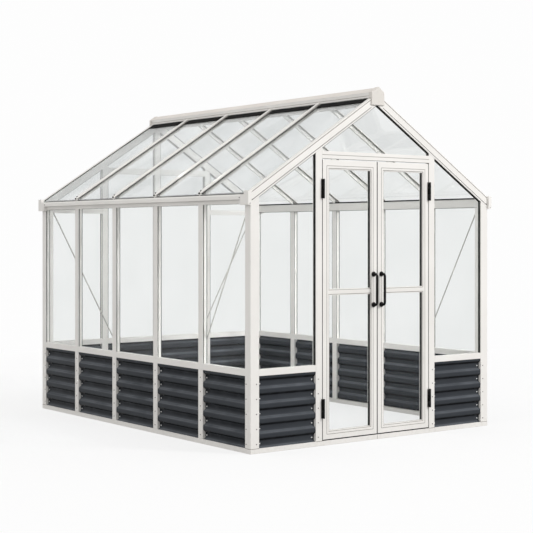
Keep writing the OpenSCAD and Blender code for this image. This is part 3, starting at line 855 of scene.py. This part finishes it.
bm = bmesh.new()
for z in VALLEYS:
    for side, node in ((-1, "left_posts"), (1, "right_posts")):
        for low, high in lower_posts(node):
            add_screw(bm, (side * HALF_W, (low.y + high.y) / 2, z), (side, 0, 0), POST_SCREW)
    for low, high in lower_posts("back_posts"):
        add_screw(bm, ((low.x + high.x) / 2, Y_BACK, z), (0, 1, 0), POST_SCREW)
    for wall_y, outward in GABLES:
        for low, high in boxes_of(CORNER_POSTS[outward]):
            side = 1 if low.x > 0 else -1
            inner_x = low.x if side > 0 else high.x
            inner_y = high.y if outward < 0 else low.y
            add_screw(bm, (inner_x + side * CORNER_INSET_FRONT, wall_y, z), (0, outward, 0), POST_SCREW)
            add_screw(bm, (side * HALF_W, inner_y + outward * CORNER_INSET_SIDE, z), (side, 0, 0), POST_SCREW)
    for low, high in boxes_of("door_posts"):
        outer_x = high.x if low.x > 0 else low.x
        toward_door = -1 if low.x > 0 else 1
        add_screw(bm, (outer_x + toward_door * CORNER_INSET_FRONT, Y_FRONT, z), TO_FRONT, POST_SCREW)
piece("post_screws", bm, steel, "house")
print("post screws in", len(VALLEYS), "rows")

# %% [markdown]
# The sheets have bright screws of their own, near both ends of every valley. They could be copied from one sheet
# to the next, but each sheet's box gives their places directly.

# %% Screws in the sheets' valleys
SHEET_SCREW = 0.011
SHEET_INSET = 0.020
SHEET_T = 0.002
bm = bmesh.new()
for node, through, outward in (("front_panels", 1, -1), ("back_panels", 1, 1), ("left_panels", 0, -1),
                               ("right_panels", 0, 1)):
    across = 1 - through
    for low, high in boxes_of(node):
        valley_face = high[through] - SHEET_T if outward < 0 else low[through] + SHEET_T
        for z in VALLEYS:
            for along in (low[across] + SHEET_INSET, high[across] - SHEET_INSET):
                place, away = [0, 0, z], [0, 0, 0]
                place[across] = along
                place[through] = valley_face
                away[through] = outward
                add_screw(bm, place, away, SHEET_SCREW)
piece("sheet_screws", bm, zinc, "house")
print("sheet screws at both ends of", len(VALLEYS), "valleys a sheet")

# %% [markdown]
# ## Roof fittings
# Each roof bar is held at its foot by a dark bolt and a clip over the gutter, the rafters have a bolt near their
# lower end, and every gutter end cap has one above, one below and one on the gutter behind it. The pan head that
# serves for the screws serves for these as well.

# %% Bolts and clips on the roof bars
BOLT = 0.014
BOLT_UP_BAR = 0.016
CLIP_W, CLIP_H, CLIP_T = 0.020, 0.012, 0.004
CLIP_DOWN = 0.008
bars = solids_of("right_roof_bars")
bar_boxes = boxes_of("right_roof_bars")
foot = max(bars[0], key=lambda p: (round(p.x, 3), p.z))
clip_z = foot.z - CLIP_DOWN
bolts = bmesh.new()
for low, high in bar_boxes:
    y = (low.y + high.y) / 2
    for side in (-1, 1):
        place = (side * (foot.x - SLOPE.x * BOLT_UP_BAR), y, foot.z + SLOPE.z * BOLT_UP_BAR)
        add_screw(bolts, place, (side * SLOPE.z, 0, SLOPE.x), BOLT)
        add_strip(bolts, (side * foot.x, y - CLIP_W / 2, clip_z), (side * foot.x, y + CLIP_W / 2, clip_z),
                  (1, 0, 0), CLIP_H, CLIP_T)
print("bolts on", 2 * len(bars), "roof bars")

# %% [markdown]
# The other bolts are smaller. They join the same mesh, since one piece for all the bolts of the roof is enough.

# %% Bolts on the rafters and gutters
SMALL_BOLT = 0.008
BOLT_SUNK = 0.001
RAFTER_BOLT_IN, RAFTER_BOLT_UP = 0.014, 0.028
CAP_BOLT_IN, CAP_BOLT_UP = 0.014, 0.010
GUTTER_BOLT_UP = 0.014
rafter_foot = eave_top.z - RAFTER_W / SLOPE.x
for wall_y, outward in GABLES:
    for side in (-1, 1):
        place = (side * (HALF_W - RAFTER_BOLT_IN), wall_y, rafter_foot + RAFTER_BOLT_UP)
        add_screw(bolts, place, (0, outward, 0), SMALL_BOLT)
gutter_low, gutter_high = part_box("right_gutter")
for low, high in boxes_of("gutter_end_caps"):
    side = 1 if low.x > 0 else -1
    end = -1 if low.y < 0 else 1
    tip_y, sleeve_y = (low.y, high.y) if end < 0 else (high.y, low.y)
    middle_x = (low.x + high.x) / 2
    add_screw(bolts, (middle_x, tip_y - end * CAP_BOLT_IN, high.z), (0, 0, 1), SMALL_BOLT)
    add_screw(bolts, (middle_x, tip_y - end * BOLT_SUNK, low.z + CAP_BOLT_UP), (0, end, 0), SMALL_BOLT)
    place = (side * gutter_high.x, sleeve_y - end * SMALL_BOLT, gutter_low.z + GUTTER_BOLT_UP)
    add_screw(bolts, place, (side, 0, 0), SMALL_BOLT)
piece("roof_bolts", bolts, black, "house")
print("bolts on rafters, end caps and gutters")

# %% [markdown]
# The panes are bedded on the bars with rubber, which shows as a dark line along both sides of each bar and on the
# eave beams. The dark line along the lower lip of the rafters is painted shade: a rubber strip that stands in for
# the shade at the lip. Lines drawn in the finish would slide at a glancing look, so these are thin bars that lie
# just under the glass or on the metal.

# %% Roof strips
BEDDING_W = 0.0022
BEDDING_DEPTHS = (0.0010, 0.0062)
EAVE_STRIP_T, EAVE_STRIP_H = 0.003, 0.011
LIP_UP = 0.014
LIP_W = 0.0040
LIP_END = HALF_W - 0.004
SEAL_GAP = 0.001
BEAD_T = 0.0006
bedding_depth = sum(BEDDING_DEPTHS) / 2
bedding_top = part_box("ridge_seals")[1].x + SEAL_GAP
cap_low, cap_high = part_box("ridge_cap")
beam_low, beam_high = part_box("right_eave_beam")
rafter_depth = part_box("front_rafters")[1].y - Y_FRONT
edges = [y for low, high in bar_boxes for y in (low.y - BEDDING_W / 2, high.y + BEDDING_W / 2)]
edges += [Y_FRONT + rafter_depth + BEDDING_W / 2, Y_BACK - rafter_depth - BEDDING_W / 2]


def line_rafter(bm, side, wall_y, outward, depth, wide):
    """Adds a thin line along a rafter's outer face, at a depth under the roof line."""
    add_strip(bm, under_roof(side * LIP_END, wall_y, depth), under_roof(side * cap_high.x, wall_y, depth),
              (0, outward, 0), wide, BEAD_T)


bm = bmesh.new()
for side in (-1, 1):
    for y in edges:
        add_strip(bm, under_roof(side * bedding_top, y, bedding_depth), under_roof(side * HALF_W, y, bedding_depth),
                  (0, 1, 0), BEDDING_DEPTHS[1] - BEDDING_DEPTHS[0], BEDDING_W)
    x = side * (beam_low.x - EAVE_STRIP_T / 2)
    for z, tall in ((beam_high.z, EAVE_STRIP_H), (beam_low.z, EAVE_STRIP_T)):
        add_strip(bm, (x, beam_low.y, z), (x, beam_high.y, z), (1, 0, 0), tall, EAVE_STRIP_T)
    # Painted shade: a dark strip along each rafter's lower lip.
    for wall_y, outward in GABLES:
        line_rafter(bm, side, wall_y, outward, RAFTER_W - LIP_UP, LIP_W)
round_arrises(bm, BEAD_T / 4)
piece("roof_strips", bm, rubber, "house")
print("strips along", len(edges), "pane edges on each slope, the eaves and the rafters' lips")

# %% [markdown]
# ## Doors
# Thin black rubber lines the doorway and the upright edges of both leaves, where it shows as dark lines round the
# doors. That black is painted shade, standing in for the shade in the gaps round the doors. A thicker black strip
# lies under the doors as painted shade on the threshold and stays clear of them. The leaves' strips ride on their
# own leaf and stay thin enough to pass each other.

# %% Door strips
DOOR_STRIP_T = 0.0008
DOOR_STRIP_DEEP = 0.013
DOOR_STRIP_SET = 0.002
THRESHOLD_STRIP_T = 0.0055
strip_y = Y_FRONT + DOOR_STRIP_SET + DOOR_STRIP_DEEP / 2
head_low, head_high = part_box("door_head")
post_face = max(box[0].x for box in boxes_of("door_posts"))


def add_door_strip(bm, x0, z0, x1, z1, thick=DOOR_STRIP_T):
    """Adds a strip just behind the face of the doors."""
    add_strip(bm, (x0, strip_y, z0), (x1, strip_y, z1), TO_FRONT, thick, DOOR_STRIP_DEEP)


# Painted shade: black strips on the leaves' upright edges stand in for the shade in the gaps between them.
for side in ("left", "right"):
    low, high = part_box(side + "_door")
    bm = bmesh.new()
    for x in (low.x - DOOR_STRIP_T / 2, high.x + DOOR_STRIP_T / 2):
        add_door_strip(bm, x, low.z, x, high.z)
    round_arrises(bm, DOOR_STRIP_T / 4)
    piece(side + "_door_edge_strips", bm, rubber, side + "_leaf")
# Painted shade: black strips round the doorway and a thicker one on the threshold stand in for the shade round the
# doors.
bm = bmesh.new()
for side in (-1, 1):
    x = side * (post_face - DOOR_STRIP_T / 2)
    add_door_strip(bm, x, BASE_TOP, x, head_low.z)
for z, thick in ((BASE_TOP + THRESHOLD_STRIP_T / 2, THRESHOLD_STRIP_T),
                 (head_low.z - DOOR_STRIP_T / 2, DOOR_STRIP_T)):
    add_door_strip(bm, head_low.x, z, head_high.x, z, thick)
round_arrises(bm, DOOR_STRIP_T / 4)
piece("doorway_strips", bm, rubber, "house")
print("door strips", DOOR_STRIP_T * 1000, "mm thick")

# %% [markdown]
# Each hinge has two flat back plates, one on the post and one on the leaf, so that it reads as one plain black bar.
# One wide plate would look the same while the door is shut, but it would tear when the leaf swings.

# %% Hinge plates
PLATE_T = 0.0025
PLATE_FROM, PLATE_TO = 0.0033, 0.0120
PLATE_OFF = 0.0003
PLATE_ARRIS = 0.0006
pins = boxes_of("left_door_hinges") + boxes_of("right_door_hinges")
hinge_x = (post_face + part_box("right_door")[1].x) / 2
plate_y = Y_FRONT - PLATE_OFF - PLATE_T / 2
plates = {"house": bmesh.new(), "left_leaf": bmesh.new(), "right_leaf": bmesh.new()}
for low, high in pins:
    side = 1 if low.x > 0 else -1
    for body, away in (("house", 1), ("right_leaf" if side > 0 else "left_leaf", -1)):
        x = side * (hinge_x + away * (PLATE_FROM + PLATE_TO) / 2)
        add_strip(plates[body], (x, plate_y, low.z), (x, plate_y, high.z), TO_FRONT, PLATE_TO - PLATE_FROM, PLATE_T)
for body, bm in plates.items():
    round_arrises(bm, PLATE_ARRIS)
    piece(body + "_hinge_plates", bm, black, body)
print("hinges:", len(pins))

# %% [markdown]
# ## Joint lines
# Where two lengths of frame meet, a thin line of sealant shows. Along the rafters, beside the roof bars, on the
# ridge cap's step and along the door head, the same taupe beads are painted shade, standing in for the shade in
# grooves and steps. Cutting real grooves would split many faces for lines a few millimetres wide, so each is a
# shallow bead.

# %% Sealant beads and painted groove shade
BEAD_W = 0.0030
GROOVE_DOWN = 0.009
GROOVE_W = 0.0045
CAP_BAND = 0.014
CAP_STEP = 0.003
RIB_HALF = 0.015
BAR_TOP = cap_high.x + 0.002
BAR_FOOT = HALF_W + 0.008
SEAM_FOOT = 0.001
bm = bmesh.new()
# Painted shade beside the rib of each roof bar.
for low, high in bar_boxes:
    middle = (low.y + high.y) / 2
    for y in (middle - RIB_HALF - BEAD_W / 2, middle + RIB_HALF + BEAD_W / 2):
        for side in (-1, 1):
            add_strip(bm, under_roof(side * BAR_TOP, y, -BEAD_W / 2), under_roof(side * BAR_FOOT, y, -BEAD_W / 2),
                      (0, 1, 0), BEAD_W, BEAD_W)
for wall_y, outward in GABLES:
    # Painted shade in the groove near the top of each rafter.
    for side in (-1, 1):
        line_rafter(bm, side, wall_y, outward, GROOVE_DOWN, GROOVE_W)
    for low, high in boxes_of(CORNER_POSTS[outward]):
        face_x = high.x if low.x > 0 else low.x
        add_strip(bm, (low.x, wall_y, BASE_TOP), (high.x, wall_y, BASE_TOP), (0, outward, 0), BEAD_W, BEAD_T)
        add_strip(bm, (face_x, low.y, BASE_TOP), (face_x, high.y, BASE_TOP), (1, 0, 0), BEAD_W, BEAD_T)
# Painted shade at the ridge cap's step.
for x in (cap_low.x + CAP_STEP, cap_high.x - CAP_STEP):
    add_strip(bm, (x, cap_low.y, cap_low.z + CAP_BAND), (x, cap_high.y, cap_low.z + CAP_BAND), (1, 0, 0),
              2 * BEAD_W, BEAD_T)


def add_front_bead(bm, x0, z0, x1, z1, y=Y_FRONT):
    """Adds a bead on the front, or at another depth."""
    add_strip(bm, (x0, y, z0), (x1, y, z1), TO_FRONT, BEAD_W, BEAD_T)


for low, high in boxes_of("door_posts"):
    add_front_bead(bm, low.x, BASE_TOP, high.x, BASE_TOP)
head_middle = (head_low.z + head_high.z) / 2
# Painted shade along the middle of the door head.
add_front_bead(bm, head_low.x, head_middle, head_high.x, head_middle)
add_front_bead(bm, 0, SEAM_FOOT, 0, BASE_TOP)
round_arrises(bm, BEAD_T / 4)
piece("sealant_beads", bm, sealant_and_groove_shade, "house")
print("sealant beads on the bars, rafters, posts, door head, threshold and ridge cap")

# %% [markdown]
# The doors have a stepped moulding round their glass. One line lies in the step round each pane, another round the
# whole glazing of a leaf: both are painted shade along the moulding. Both are four beads round a box that is grown a
# little.

# %% Lines of the door mouldings
STEP_GROW, STEP_DEPTH = 0.0075, 0.004
MOULDING_GROW = 0.026


def add_outline(bm, low, high, grow, y):
    """Adds four beads round a box that is grown by a given amount."""
    x0, x1, z0, z1 = low.x - grow, high.x + grow, low.z - grow, high.z + grow
    for ends in ((x0, z0, x1, z0), (x0, z1, x1, z1), (x0, z0, x0, z1), (x1, z0, x1, z1)):
        add_front_bead(bm, *ends, y)


for side in ("left", "right"):
    bm = bmesh.new()
    # Painted shade in the step round each pane and along the moulding round the glazing.
    for low, high in boxes_of(side + "_door_glass"):
        add_outline(bm, low, high, STEP_GROW, Y_FRONT + STEP_DEPTH)
    low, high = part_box(side + "_door_glass")
    add_outline(bm, low, high, MOULDING_GROW, Y_FRONT)
    round_arrises(bm, BEAD_T / 4)
    piece(side + "_door_bead_lines", bm, sealant_and_groove_shade, side + "_leaf")
print("bead lines on both leaves")
